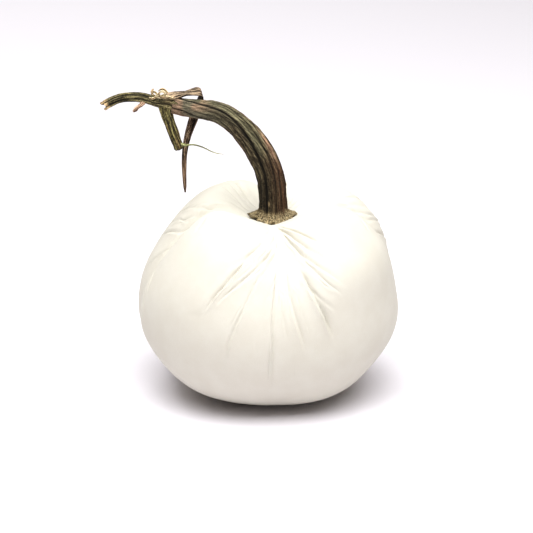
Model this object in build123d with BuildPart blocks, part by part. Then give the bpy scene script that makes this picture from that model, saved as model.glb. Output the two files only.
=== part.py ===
from build123d import *
import os
from math import cos, pi, radians, sin

# Stuffed velvet pumpkin with a real dried pumpkin stem glued into its gathered top.
#
# Millimetres. +Z is up, the origin is the centre of the flat base, and the cut vine end points to -X.
# The soft body has four lobes. The cover is one gathered piece of velvet; the fibre filling, the
# weighted bag and the tie-down threads are inside it. The stem, the vine cutting and the leaf stalks
# grew as one plant, and each organ is a node of its own.

os.makedirs("parts", exist_ok=True)

# ---- driving dimensions -------------------------------------------------------------------------
body_height = 156.0  # crest of a lobe
body_radius = 103.5  # a lobe at its widest
crease_radius = 100.5  # a crease at its widest
widest_height = 62.0
base_radius = 38.0  # flat contact patch
lobes = 4
crease_turn = 5.0  # degrees from +X to the first crease
velvet = 1.0  # thickness of the pile fabric
clearance = 0.15  # between pieces that lie against each other

core_radius = 3.0  # where the lobes stop short of the axis
neck_radius = 7.0  # gathered neck of the cover, outside
neck_wall = 3.0  # bunched folds
neck_top = 136.0
neck_bottom = 116.0

bag_radius = 46.0
bag_height = 30.0
bag_wall = 0.8
bag_neck_radius = 6.0
bag_neck_height = 9.0

thread_radius = 0.5
foot_radius = 17.5  # flared foot of the stem, where it broke off the fruit
foot_height = 143.0
foot_dish = 3.6  # the foot's middle hangs this far below its rim
pad_bottom = 138.2  # hot glue between the foot and the cloth
shank_radius = 11.2
vine_radius = 4.0


def save(builder, name):
    """Label a finished piece and write it as its own node."""
    builder.part.label = name
    export_step(builder.part, f"parts/{name}.step")


# ---- soft body ----------------------------------------------------------------------------------
# Meridional outlines from the base edge, round the widest point and over the crest to the neck.
lobe_outline = [
    (base_radius, 0.0),
    (0.70 * body_radius, 0.075 * body_height),
    (0.935 * body_radius, 0.22 * body_height),
    (body_radius, widest_height),
    (0.955 * body_radius, 0.64 * body_height),
    (0.785 * body_radius, 0.875 * body_height),
    (0.51 * body_radius, body_height),
    (0.29 * body_radius, 0.943 * body_height),
    (core_radius, neck_top),
]
crease_outline = [
    (base_radius, 0.0),
    (0.70 * crease_radius, 0.08 * body_height),
    (0.93 * crease_radius, 0.23 * body_height),
    (crease_radius, widest_height),
    (0.93 * crease_radius, 0.61 * body_height),
    (0.76 * crease_radius, 0.785 * body_height),
    (0.51 * crease_radius, 0.88 * body_height),
    (0.29 * crease_radius, 0.895 * body_height),
    (core_radius, neck_top - 1),
]
STATIONS = 5  # sections across one lobe, crease to crease


def fullness(share):
    """0 in a crease and 1 on a lobe's middle; share runs 0 to 1 from one crease to the next."""
    return sin(pi * share) ** 0.85 if 0 < share < 1 else 0.0


def outline_at(share, inset):
    """Outline points at a share of the way across a lobe, moved inward by inset along the normal."""
    w = fullness(share)
    pts = [
        Vector(a[0] + (b[0] - a[0]) * w, a[1] + (b[1] - a[1]) * w)
        for a, b in zip(crease_outline, lobe_outline)
    ]
    moved = []
    for i, p in enumerate(pts):
        along = pts[min(i + 1, len(pts) - 1)] - pts[max(i - 1, 0)]
        normal = Vector(-along.Y, along.X).normalized()
        moved.append(p + normal * inset)
    moved[0] = Vector(base_radius, inset)
    moved[-1] = Vector(core_radius, pts[-1].Y - inset)
    return moved


def lobe_planes():
    """A vertical plane through the axis for each section, with its local y up; and its share."""
    for k in range(STATIONS):
        share = k / (STATIONS - 1)
        azimuth = radians(crease_turn + share * 360 / lobes)
        out = Vector(cos(azimuth), sin(azimuth), 0)
        yield share, Plane(origin=(0, 0, 0), x_dir=out, z_dir=out.cross(Vector(0, 0, 1)))


def lobed_solid(inset):
    """One lobe as a solid, from its outline moved inward by inset, and open at the core."""
    with BuildPart() as lobe:
        for share, plane in lobe_planes():
            with BuildSketch(plane):
                with BuildLine():
                    top = Spline(*outline_at(share, inset))
                    Polyline(top @ 1, (core_radius, inset), top @ 0)
                make_face()
        loft()
    return lobe.part


def ring_of_lobes(inset):
    """The lobe repeated round the axis, and the column between them, inside the current part."""
    lobe = lobed_solid(inset)
    with PolarLocations(0, lobes):
        add(lobe)
    with BuildSketch(Plane.XY.offset(inset)) as column:
        Circle(core_radius + clearance)
    extrude(column.sketch, amount=neck_top - 4 - 2 * inset)


with BuildPart() as tie_down_threads:
    # Four strands from the bag's tied neck up to the creases, just under the gathered top.
    for k in range(lobes):
        azimuth = radians(crease_turn + 360 / lobes * k)
        low = Vector(3.0 * cos(azimuth), 3.0 * sin(azimuth), bag_height + bag_neck_height + 2.5)
        high = Vector(11.5 * cos(azimuth), 11.5 * sin(azimuth), neck_top - 2.6)
        with BuildSketch(Plane(origin=low, z_dir=high - low)):
            Circle(thread_radius)
        extrude(amount=(high - low).length)
save(tie_down_threads, "tie_down_threads")

with BuildPart() as gathering_thread:
    # Three turns that cinch the cover's neck from outside it.
    for turn in range(3):
        with BuildSketch(Plane.XZ):
            with Locations((neck_radius + thread_radius, neck_bottom + 9 + turn * 2.2 * thread_radius)):
                Circle(thread_radius)
    revolve(axis=Axis.Z)
save(gathering_thread, "gathering_thread")

with BuildPart() as hollow:
    ring_of_lobes(velvet)
    with BuildSketch(Plane.XY.offset(neck_bottom)):
        Circle(neck_radius)
    extrude(amount=neck_top, mode=Mode.SUBTRACT)

with BuildPart() as velvet_cover:
    ring_of_lobes(0.0)
    add(hollow.part, mode=Mode.SUBTRACT)
    # The gathered neck is a tube that hangs down inside.
    with BuildSketch(Plane.XY.offset(neck_bottom)):
        Circle(neck_radius - neck_wall)
    extrude(amount=neck_top, mode=Mode.SUBTRACT)
save(velvet_cover, "velvet_cover")

bag_floor = velvet + clearance
with BuildPart() as ballast_bag:
    # Squat muslin pouch with a tied neck: outer shape, then its hollow.
    for wall in (0.0, bag_wall):
        reach = bag_radius - wall
        crown = bag_height - wall
        with BuildSketch(Plane.XZ):
            with BuildLine():
                floor_line = Line((0, bag_floor + wall), (base_radius - 4 - wall, bag_floor + wall))
                side = Spline(
                    floor_line @ 1,
                    (reach, bag_floor + 0.45 * bag_height),
                    (0.55 * reach, crown - 2.0),
                    (bag_neck_radius - wall, crown),
                )
                Polyline(side @ 1, (0, crown), (0, bag_floor + wall))
            make_face()
        revolve(axis=Axis.Z, mode=Mode.ADD if wall == 0 else Mode.SUBTRACT)
    with BuildSketch(Plane.XY.offset(bag_height - bag_wall)):
        Circle(bag_neck_radius - 1)
    extrude(amount=bag_neck_height)
save(ballast_bag, "ballast_bag")

with BuildPart() as ballast_pellets:
    # The poured pellets as one mass, filling the bag to four fifths.
    gap = bag_wall + clearance
    fill_top = bag_floor + 0.78 * bag_height
    with BuildSketch(Plane.XZ):
        with BuildLine():
            floor_line = Line((0, bag_floor + gap), (base_radius - 4 - gap, bag_floor + gap))
            side = Spline(
                floor_line @ 1,
                (bag_radius - gap - 1.5, bag_floor + 0.42 * bag_height),
                (0.62 * bag_radius, fill_top - 2.0),
            )
            Polyline(side @ 1, (0, fill_top), (0, bag_floor + gap))
        make_face()
    revolve(axis=Axis.Z)
save(ballast_pellets, "ballast_pellets")

with BuildPart() as bag_tie:
    # Two turns of string round the bag's neck.
    for turn in range(2):
        with BuildSketch(Plane.XZ):
            with Locations((bag_neck_radius - 0.5, bag_height + 3 + turn * 1.1)):
                Circle(thread_radius)
    revolve(axis=Axis.Z)
save(bag_tie, "bag_tie")

with BuildPart() as fibre_filling:
    ring_of_lobes(velvet + clearance)
    # Hollows for the neck with its thread, the bag with its tie, and the strands.
    with BuildSketch(Plane.XY.offset(neck_bottom - clearance)):
        Circle(neck_radius + 2 * thread_radius + clearance)
    extrude(amount=neck_top, mode=Mode.SUBTRACT)
    with BuildSketch(Plane.XZ):
        with BuildLine():
            Line((0, 0), (base_radius - 4 + clearance, 0))
            Line((base_radius - 4 + clearance, 0), (base_radius - 4 + clearance, bag_floor - clearance))
            side = Spline(
                (base_radius - 4 + clearance, bag_floor - clearance),
                (bag_radius + clearance, bag_floor + 0.45 * bag_height),
                (0.55 * bag_radius + clearance, bag_height - 2.0 + clearance),
                (bag_neck_radius + clearance, bag_height + clearance),
            )
            Polyline(
                side @ 1,
                (bag_neck_radius + clearance, bag_height + bag_neck_height + 1),
                (0, bag_height + bag_neck_height + 1),
                (0, 0),
            )
        make_face()
    revolve(axis=Axis.Z, mode=Mode.SUBTRACT)
    add(tie_down_threads.part, mode=Mode.SUBTRACT)
save(fibre_filling, "fibre_filling")

# ---- dried stem ---------------------------------------------------------------------------------
RIB_POINTS = 4  # outline points per rib


def between(values, t):
    """Value at share t of an evenly spaced list of numbers or vectors."""
    place = t * (len(values) - 1)
    k = min(int(place), len(values) - 2)
    return values[k] + (values[k + 1] - values[k]) * (place - k)


def rib_outline(radius, ribs, depth, flat=1.0, turn=0.0):
    """Closed outline of a ribbed stalk: ribs crests, grooves depth deep as a share of the radius."""
    count = ribs * RIB_POINTS
    pts = []
    for i in range(count):
        a = 2 * pi * i / count
        reach = radius * (1 - depth / 2 + depth / 2 * cos(ribs * (a - radians(turn))))
        pts.append((reach * cos(a), reach * flat * sin(a)))
    return pts


def grown_limb(route, radii, wide, ribs=5, depth=0.16, flat=1.0, twist=0.0, stations=9):
    """Loft of ribbed sections along a smooth route; wide gives the direction of each section's width."""
    path = Spline(*route)
    with BuildPart() as limb:
        for k in range(stations):
            t = k / (stations - 1)
            with BuildSketch(Plane(origin=path @ t, x_dir=between(wide, t), z_dir=path % t)):
                with BuildLine():
                    Spline(*rib_outline(between(radii, t), ribs, depth, flat, twist * t), periodic=True)
                make_face()
        loft()
    return limb


across = [Vector(0, 1, 0), Vector(0, 1, 0)]
foot_x = 1.2  # the stem stands a little off the axis
stem_route = [
    (foot_x, 0, foot_height + 4.5),
    (0.8, 0, 167),
    (-9.5, 0, 196.5),
    (-30, 0, 220.5),
    (-55, 0, 230.5),
    (-76, 0, 233.5),
]
vine_route = [
    (-76.4, 0, 233.6),
    (-84, 0, 236),
    (-93, 0, 237.5),
    (-106, 0, 240),
    (-119, 0, 238.3),
    (-129, 0, 233.6),
]
withered_route = [
    (-82, 0, 241.5),
    (-72, 0, 244.5),
    (-61, 3, 246),
    (-54.5, 10, 241),
    (-57, 12.5, 230),
    (-63, 11.5, 211),
    (-67.5, 10, 186),
    (-66.5, 9, 160.5),
]

# Rim of the flared foot: angle in degrees and reach as a share of foot_radius.
foot_rim = [
    (0, 1.04),
    (33, 0.84),
    (62, 1.0),
    (92, 0.86),
    (120, 0.98),
    (150, 0.82),
    (180, 1.07),
    (218, 0.84),
    (246, 0.98),
    (270, 0.9),
    (293, 1.0),
    (326, 0.84),
]


def foot_outline(spread):
    """Foot section: spread 0 is the round shank, spread 1 the full star-shaped rim."""
    pts = []
    for angle, reach in foot_rim:
        r = shank_radius + spread * (reach * foot_radius - shank_radius)
        pts.append((r * cos(radians(angle)), r * sin(radians(angle))))
    return pts


with BuildPart() as main_stem:
    # Flared foot: thin at the rim, lifted underneath where it sits on the gathered cloth.
    for height, spread in ((-foot_dish, -0.45), (-0.6, 0.97), (0.4, 1.0), (2.0, 0.62), (4.2, 0.2), (7.0, 0.0)):
        with BuildSketch(Plane((foot_x, 0, foot_height + height))):
            with BuildLine():
                Spline(*foot_outline(spread), periodic=True)
            make_face()
    loft(ruled=True)
    # Arched shank, thinning towards the vine.
    add(
        grown_limb(
            stem_route,
            [shank_radius * share for share in (1, 1, 1, 0.95, 0.86, 0.76, 0.69, 0.63, 0.58)],
            across,
            ribs=8,
            depth=0.17,
            twist=20,
            stations=11,
        ).part
    )
save(main_stem, "main_stem")

with BuildPart() as glue_pad:
    # Hot glue: a button under the foot and a plug down the middle of the gathered neck.
    with BuildSketch(Plane.XY.offset(pad_bottom)):
        Circle(neck_radius - clearance)
    extrude(amount=foot_height - foot_dish - clearance - pad_bottom)
    with BuildSketch(Plane.XY.offset(neck_bottom + 12)):
        Circle(neck_radius - neck_wall - clearance)
    extrude(amount=pad_bottom - neck_bottom - 11)
save(glue_pad, "glue_pad")

with BuildPart() as vine_cutting:
    # Short length of vine left on the stem, swollen at the node and cut off at its far end.
    add(
        grown_limb(
            vine_route,
            [6.6, 5.4, 4.3, vine_radius, 3.9, 3.9, 4.1],
            across,
            depth=0.2,
            twist=-20,
        ).part
    )
    # The vine is hollow; the bore shows at the cut.
    with BuildSketch(Plane(origin=(-130, 0, 233), z_dir=(10, 0, 4.8))):
        Circle(0.45 * vine_radius)
    extrude(amount=11, mode=Mode.SUBTRACT)
    add(main_stem.part, mode=Mode.SUBTRACT)
save(vine_cutting, "vine_cutting")

with BuildPart() as leaf_stalk_stub:
    # Green leaf stalk that hangs from the node, cut off square.
    add(
        grown_limb(
            [(-83.5, -1, 233), (-79, -2, 218), (-71.5, -3, 198.5)],
            [5.2, 4.8, 4.4, 4.0],
            across,
            depth=0.22,
            stations=5,
        ).part
    )
    add(main_stem.part, mode=Mode.SUBTRACT)
    add(vine_cutting.part, mode=Mode.SUBTRACT)
save(leaf_stalk_stub, "leaf_stalk_stub")

with BuildPart() as withered_stalk:
    # Shrivelled flat stalk that leaves the node, lies over the stem, folds down behind it and hangs.
    add(
        grown_limb(
            withered_route,
            [2.6, 3.2, 3.2, 3.0, 3.0, 2.9, 2.6, 2.2, 1.2],
            [
                Vector(0, 0.8, 0.6),
                Vector(0, 0.6, 0.8),
                Vector(-0.7, 0.1, 0.7),
                Vector(1, 0, 0),
                Vector(1, 0.1, 0),
            ],
            ribs=3,
            depth=0.12,
            flat=0.38,
            stations=15,
        ).part
    )
    add(vine_cutting.part, mode=Mode.SUBTRACT)
    add(main_stem.part, mode=Mode.SUBTRACT)
save(withered_stalk, "withered_stalk")

with BuildPart() as tendril:
    # Thin dry tendril from the end of the cut leaf stalk.
    add(
        grown_limb(
            [(-68, -5, 203.5), (-58, -5, 201.5), (-50, -5, 198), (-44.5, -4, 195), (-37.5, -4, 194)],
            [0.8, 0.6, 0.45],
            across,
            ribs=3,
            depth=0.05,
        ).part
    )
    add(leaf_stalk_stub.part, mode=Mode.SUBTRACT)
save(tendril, "tendril")

with BuildPart() as torn_fibres:
    # Two pale curls of torn fibre on top of the node.
    for route in (
        [(-88, -3, 240.5), (-90.5, -4, 244), (-88, -4, 247), (-85, -3.5, 245)],
        [(-84, 2, 241), (-84.5, 4, 244.5), (-87.5, 4.5, 246.5), (-90, 4, 243.5)],
    ):
        add(grown_limb(route, [1.1, 0.9, 0.6], across, ribs=3, depth=0.05, flat=0.5).part)
    add(vine_cutting.part, mode=Mode.SUBTRACT)
    add(withered_stalk.part, mode=Mode.SUBTRACT)
save(torn_fibres, "torn_fibres")

with BuildPart() as peeled_bark:
    # One strip of bark peeled off the underside of the vine.
    add(
        grown_limb(
            [(-99.5, -1, 235.6), (-102.5, -2, 233.2), (-106, -3, 232), (-108.5, -3, 229)],
            [1.5, 1.3, 0.8],
            across,
            ribs=3,
            depth=0.1,
            flat=0.5,
        ).part
    )
    add(vine_cutting.part, mode=Mode.SUBTRACT)
save(peeled_bark, "peeled_bark")
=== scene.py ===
from math import cos, pi, radians, sin

import bpy
import numpy as np
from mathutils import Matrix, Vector


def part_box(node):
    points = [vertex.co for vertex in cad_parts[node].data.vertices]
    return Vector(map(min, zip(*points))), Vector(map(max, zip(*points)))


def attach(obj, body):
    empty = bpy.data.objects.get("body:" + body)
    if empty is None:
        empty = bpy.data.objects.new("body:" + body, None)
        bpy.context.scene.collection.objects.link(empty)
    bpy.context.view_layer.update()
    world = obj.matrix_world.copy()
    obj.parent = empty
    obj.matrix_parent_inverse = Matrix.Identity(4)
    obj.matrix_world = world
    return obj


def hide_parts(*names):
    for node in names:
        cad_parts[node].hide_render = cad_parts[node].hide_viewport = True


# A stuffed ivory velvet pumpkin with a real dried stem. Shapes are worked out in millimetres in the
# part's frame and written to meshes in metres. +Z is up, and the stem arches towards -X.

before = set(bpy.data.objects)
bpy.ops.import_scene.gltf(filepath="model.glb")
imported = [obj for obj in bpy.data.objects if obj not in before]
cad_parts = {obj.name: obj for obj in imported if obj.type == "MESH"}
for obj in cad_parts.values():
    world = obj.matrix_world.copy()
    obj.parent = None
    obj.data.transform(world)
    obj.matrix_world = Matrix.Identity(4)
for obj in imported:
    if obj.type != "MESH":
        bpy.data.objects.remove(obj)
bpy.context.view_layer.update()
MM = 0.001
SEED = 11
NOISE_ROWS = 61  # cells after which the noise repeats along x


# ---- small maths ----------------------------------------------------------------------------------
def ramp(x, low, high):
    """Smooth step: 0 below low, 1 above high."""
    s = np.clip((x - low) / (high - low), 0.0, 1.0)
    return s * s * (3 - 2 * s)


def bump(x):
    """1 at 0, fading to both sides within about 2."""
    return np.exp(-x * x)


def turn_gap(a, b):
    """Signed difference of two angles in degrees, -180 to 180."""
    return (a - b + 180.0) % 360.0 - 180.0


def band(angle, place, width):
    """1 along one direction and fading to both sides, in degrees."""
    return bump(turn_gap(angle, place) / width)


def patch(t, place, reach):
    """1 at one share of the way and fading along it."""
    return bump((t - place) / reach)


def smooth_noise(x, y, cells, seed):
    """Value noise, -1 to 1. x runs free, in cells. y is a share of a turn, which holds a number of cells."""
    rows = NOISE_ROWS
    grid = np.random.default_rng(SEED + seed).uniform(-1, 1, (rows, cells))
    x, y = np.broadcast_arrays(np.asarray(x, float), np.asarray(y, float))
    y = (y % 1.0) * cells
    xi, yi = np.floor(x).astype(int), np.floor(y).astype(int)
    fx, fy = x - xi, y - yi
    fx, fy = fx * fx * (3 - 2 * fx), fy * fy * (3 - 2 * fy)
    low = grid[xi % rows, yi % cells] * (1 - fy) + grid[xi % rows, (yi + 1) % cells] * fy
    high = grid[(xi + 1) % rows, yi % cells] * (1 - fy) + grid[(xi + 1) % rows, (yi + 1) % cells] * fy
    return low * (1 - fx) + high * fx


def spline_through(knots, count):
    """Points on the natural cubic spline through the knots, even in chord length."""
    knots = np.asarray(knots, float)
    t = np.r_[0, np.cumsum(np.linalg.norm(np.diff(knots, axis=0), axis=1))]
    t /= t[-1]
    h = np.diff(t)
    last = len(knots) - 1
    matrix, right = np.eye(last + 1), np.zeros_like(knots)
    for i in range(1, last):
        matrix[i, i - 1 : i + 2] = h[i - 1], 2 * (h[i - 1] + h[i]), h[i]
        right[i] = 6 * ((knots[i + 1] - knots[i]) / h[i] - (knots[i] - knots[i - 1]) / h[i - 1])
    bend = np.linalg.solve(matrix, right)
    u = np.linspace(0, 1, count)
    k = np.clip(np.searchsorted(t, u) - 1, 0, last - 1)
    a, b = ((t[k + 1] - u) / h[k])[:, None], ((u - t[k]) / h[k])[:, None]
    straight = a * knots[k] + b * knots[k + 1]
    return straight + ((a**3 - a) * bend[k] + (b**3 - b) * bend[k + 1]) * h[k][:, None] ** 2 / 6


def table_value(table, x):
    """Value at x from (place, value) pairs."""
    return np.interp(x, *zip(*table))


# ---- meshes ---------------------------------------------------------------------------------------
def grid_object(name, grid, facts=None):
    """Closed mesh from a (rows, columns, 3) grid in millimetres whose rows close on themselves.

    Its first and last rows are capped. facts are named values for the grid's points, numbers or vectors.
    """
    rows, cols, _ = grid.shape
    first_cap, last_cap = rows * cols, rows * cols + 1
    i, j = np.meshgrid(np.arange(rows - 1), np.arange(cols), indexing="ij")
    k = (j + 1) % cols
    quads = np.stack([i * cols + j, i * cols + k, (i + 1) * cols + k, (i + 1) * cols + j], -1).reshape(-1, 4)
    points = np.vstack([grid.reshape(-1, 3), grid[0].mean(0), grid[-1].mean(0)])
    faces = quads.tolist()
    for c in range(cols):
        d = (c + 1) % cols
        faces.append([first_cap, d, c])
        faces.append([last_cap, (rows - 1) * cols + c, (rows - 1) * cols + d])
    corner = points[quads]
    outward = corner[:, 0] - grid.mean((0, 1))
    facing = np.cross(corner[:, 1] - corner[:, 0], corner[:, 2] - corner[:, 0])
    if np.einsum("ij,ij->i", outward, facing).sum() < 0:
        faces = [f[::-1] for f in faces]
    mesh = bpy.data.meshes.new(name)
    mesh.from_pydata((points * MM).tolist(), [], faces)
    mesh.polygons.foreach_set("use_smooth", np.ones(len(faces), bool))
    for key, value in (facts or {}).items():
        is_vector = value.ndim == 3
        ends = [value[row].mean(0).reshape(1, -1) for row in (0, -1)]
        flat = np.vstack([value.reshape(rows * cols, -1)] + ends)
        layer = mesh.attributes.new(key, "FLOAT_VECTOR" if is_vector else "FLOAT", "POINT")
        layer.data.foreach_set("vector" if is_vector else "value", flat.astype(np.float32).ravel())
    mesh.update()
    obj = bpy.data.objects.new(name, mesh)
    bpy.context.collection.objects.link(obj)
    return obj


def grid_normals(grid):
    """Unit normals of a grid whose rows close on themselves."""
    along = np.gradient(grid, axis=0)
    across = np.roll(grid, -1, axis=1) - np.roll(grid, 1, axis=1)
    normal = np.cross(across, along)
    return normal / np.maximum(np.linalg.norm(normal, axis=2, keepdims=True), 1e-9)


# ---- materials ------------------------------------------------------------------------------------
class Nodes:
    """A material under construction: short calls that add and link nodes."""

    def __init__(self, name):
        self.material = bpy.data.materials.new(name)
        self.material.use_nodes = True
        self.tree = self.material.node_tree
        self.shader = self.tree.nodes["Principled BSDF"]

    def link(self, value, socket):
        """Feeds a socket from another socket, or sets it to a value."""
        if isinstance(value, bpy.types.NodeSocket):
            self.tree.links.new(value, socket)
        elif value is not None:
            socket.default_value = value

    def add(self, kind, out=0, inputs=None, **settings):
        """Adds a node and returns one of its outputs."""
        node = self.tree.nodes.new(kind)
        for key, value in settings.items():
            setattr(node, key, value)
        for key, value in (inputs or {}).items():
            self.link(value, node.inputs[key])
        return node.outputs[out]

    def attribute(self, name, vector=False):
        return self.add("ShaderNodeAttribute", "Vector" if vector else "Fac", attribute_name=name)

    def scaled(self, vector, scale):
        return self.add("ShaderNodeMapping", inputs={"Vector": vector, "Scale": scale})

    def noise(self, vector, scale, detail=3.0, rough=0.55, distortion=0.0):
        inputs = dict(Vector=vector, Scale=scale, Detail=detail, Roughness=rough, Distortion=distortion)
        return self.add("ShaderNodeTexNoise", "Fac", inputs)

    def spread(self, value, low, high, to_low=0.0, to_high=1.0):
        inputs = {"Value": value, "From Min": low, "From Max": high, "To Min": to_low, "To Max": to_high}
        return self.add("ShaderNodeMapRange", inputs=inputs)

    def math(self, kind, a, b):
        node = self.tree.nodes.new("ShaderNodeMath")
        node.operation = kind
        self.link(a, node.inputs[0])
        self.link(b, node.inputs[1])
        return node.outputs[0]

    def weighted(self, *terms):
        """Sum of (socket, weight) terms."""
        total, *parts = [self.math("MULTIPLY", socket, weight) for socket, weight in terms]
        for part in parts:
            total = self.math("ADD", total, part)
        return total

    def mix(self, share, a, b):
        """Colour between a and b."""
        node = self.tree.nodes.new("ShaderNodeMix")
        node.data_type = "RGBA"
        colour_a, colour_b, colour_out = node.inputs[6], node.inputs[7], node.outputs[2]
        self.link(share, node.inputs["Factor"])
        self.link(rgba(a), colour_a)
        self.link(rgba(b), colour_b)
        return colour_out

    def tinted(self, colour, mask, share, tint):
        """Colour with a tint over it where the named mask is, to a share."""
        return self.mix(self.math("MULTIPLY", self.attribute(mask), share), colour, tint)

    def bumps(self, *layers):
        """Bump from (height socket, strength, distance in mm) layers, one on top of the other."""
        normal = None
        for height, strength, distance in layers:
            inputs = {"Height": height, "Strength": strength, "Distance": distance * MM, "Normal": normal}
            normal = self.add("ShaderNodeBump", inputs=inputs)
        self.link(normal, self.shader.inputs["Normal"])

    def finish(self, colour, rough, **fixed):
        self.link(rgba(colour), self.shader.inputs["Base Color"])
        self.link(rough, self.shader.inputs["Roughness"])
        for key, value in fixed.items():
            self.shader.inputs[key.replace("_", " ")].default_value = value
        return self.material


def linear(value):
    """One sRGB channel in 0 to 255 as linear, 0 to 1."""
    c = value / 255
    return c / 12.92 if c < 0.0405 else ((c + 0.055) / 1.055) ** 2.4


def rgba(colour):
    """An sRGB colour in 0 to 255 as linear, or a socket unchanged."""
    if not isinstance(colour, tuple):
        return colour
    return tuple(linear(value) for value in colour) + (1.0,)


def dress(obj, material):
    obj.data.materials.clear()
    obj.data.materials.append(material)


# ---- the soft body --------------------------------------------------------------------------------
cover_low, cover_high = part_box("velvet_cover")
BODY_HEIGHT = cover_high.z / MM
LOBE_REACH = 1.0215  # the lobes stand between the box's sides and reach a little further
BODY_RADIUS = (cover_high.x - cover_low.x) / 2 / MM * LOBE_REACH
CREASE_RADIUS = 0.971 * BODY_RADIUS
BASE_RADIUS = 0.367 * BODY_RADIUS
BASE_MIDDLE = 0.04  # the base's first ring, as a share of its radius
NECK_DEPTH = 16.0
CREASES = (5, 95, 185, 275)  # degrees from +X
FRONT = CREASES[-1]
TABLE = np.linspace(0, 360, 1441)  # azimuths at which the outline is worked out

# Outlines from the base's edge up to the neck, as shares of the radius and of the height.
LOBE_OUTLINE = [
    (1, 0),
    (0.70, 0.075),
    (0.935, 0.22),
    (1.0, 0.397),
    (0.955, 0.64),
    (0.785, 0.875),
    (0.51, 1.0),
    (0.29, 0.95),
    (0.15, 0.908),
    (0.03, 0.872),
]
CREASE_OUTLINE = [
    (1, 0),
    (0.70, 0.08),
    (0.93, 0.23),
    (1.0, 0.397),
    (0.93, 0.61),
    (0.76, 0.785),
    (0.51, 0.9),
    (0.29, 0.917),
    (0.17, 0.9),
    (0.03, 0.865),
]

# Pleats and folds of the cover. Each is a line along the cloth, given as (degrees from the fan's crease,
# mm of cloth from the neck) points, then its depth and half width in mm, and the side on which the
# cloth puffs over it: 1 towards larger azimuths, -1 towards smaller ones.
FRONT_FAN = [
    ([(5, 30), (10, 46), (17, 63), (26, 79)], 2.0, 1.5, 1),
    ([(9, 42), (14, 56), (23, 75)], 1.3, 1.3, 1),
    ([(2, 28), (5, 40), (9, 57), (16, 75), (27, 95)], 3.2, 1.9, 1),
    ([(1, 28), (3, 40), (5.5, 57), (10.5, 73), (20, 94), (31, 115)], 2.6, 1.7, 1),
    ([(8, 66), (11.8, 80), (16.8, 94), (22.5, 108), (31.5, 125)], 1.9, 1.7, 1),
    ([(12, 84), (15.2, 93), (20.5, 107), (28, 120)], 1.2, 1.5, 1),
    ([(8.5, 84), (12.8, 101), (17.2, 117), (20.8, 131), (25.6, 158)], 4.0, 2.6, 1),
    ([(14, 104), (17.5, 114), (21.2, 122), (27, 134)], 1.4, 1.8, 1),
    ([(0.5, 74), (1.8, 91), (5.5, 111), (9, 131), (12.6, 158)], 2.0, 2.2, 1),
    ([(-1.8, 92), (-1.0, 104), (2.2, 121), (3.6, 139)], 0.9, 1.6, 1),
    ([(-4.4, 80), (-4.2, 93), (-3.5, 117), (-3.0, 139), (-3.2, 184)], 1.7, 1.8, 1),
    ([(-4.0, 134), (-4.5, 150), (-5.4, 172)], 1.0, 1.1, -1),
    ([(-13, 88), (-15.2, 103), (-17.8, 125), (-22, 149), (-25.2, 180)], 1.4, 1.6, -1),
    ([(-18.4, 118), (-21, 134), (-24, 148)], 0.8, 1.2, -1),
    ([(-6, 60), (-10, 74), (-19.5, 98), (-28.8, 121), (-31.6, 134)], 1.8, 1.7, -1),
    ([(-11.5, 82), (-14.2, 89), (-22.5, 107), (-25, 114)], 0.9, 1.2, -1),
    ([(-13, 62), (-16.2, 71), (-22.2, 84), (-31, 101)], 1.7, 2.6, -1),
    ([(-17, 74), (-21.5, 85), (-28.2, 107), (-32, 120), (-37, 142)], 2.7, 1.9, -1),
    ([(-9, 46), (-12.5, 54), (-19, 65), (-30, 78)], 0.9, 1.8, -1),
    ([(-4, 44), (-8, 60), (-15.5, 82), (-25, 106), (-30, 122)], 1.0, 1.0, -1),
    ([(-2.6, 50), (-5.4, 68), (-12.4, 92), (-17, 112)], 0.8, 0.9, -1),
    ([(-1.4, 58), (-3.0, 78), (-7.4, 104), (-9.2, 128)], 0.7, 0.9, -1),
    ([(0.6, 56), (2.2, 78), (6.2, 100), (11.8, 128), (15.2, 150)], 0.8, 0.9, 1),
    ([(-0.2, 66), (0.2, 90), (1.4, 112), (1.6, 134)], 0.6, 0.8, 1),
    ([(16, 140), (18, 168)], 0.4, 1.6, 1),
    ([(6, 146), (7.5, 176)], 0.4, 1.4, 1),
    ([(-10, 140), (-11.5, 172)], 0.4, 1.5, -1),
]
RIGHT_FAN = [
    ([(7, 24), (7, 45), (4, 66), (2, 80), (0, 98), (-2, 116)], 1.8, 3.2, -1),
    ([(6, 36), (12, 53), (20.5, 74), (27, 92)], 1.6, 1.5, 1),
    ([(6, 47), (8.5, 58), (14, 75), (18, 86)], 1.0, 1.2, 1),
    ([(4.5, 55), (9.5, 76), (18, 95), (30, 120)], 2.2, 1.3, 1),
    ([(3.5, 64), (6.5, 76), (15, 94), (26, 116)], 1.9, 1.2, 1),
    ([(2.5, 73), (6, 88), (12.5, 106), (20, 126)], 2.8, 1.8, 1),
    ([(1.5, 84), (4, 96), (8, 112), (13, 134)], 1.8, 1.3, 1),
    ([(-6, 104), (-9, 118), (-12, 140)], 0.9, 1.6, -1),
    ([(-1, 78), (-5, 104), (-9, 130)], 1.2, 1.5, -1),
    ([(-20, 62), (-27, 88)], 0.8, 2.0, -1),
]
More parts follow.
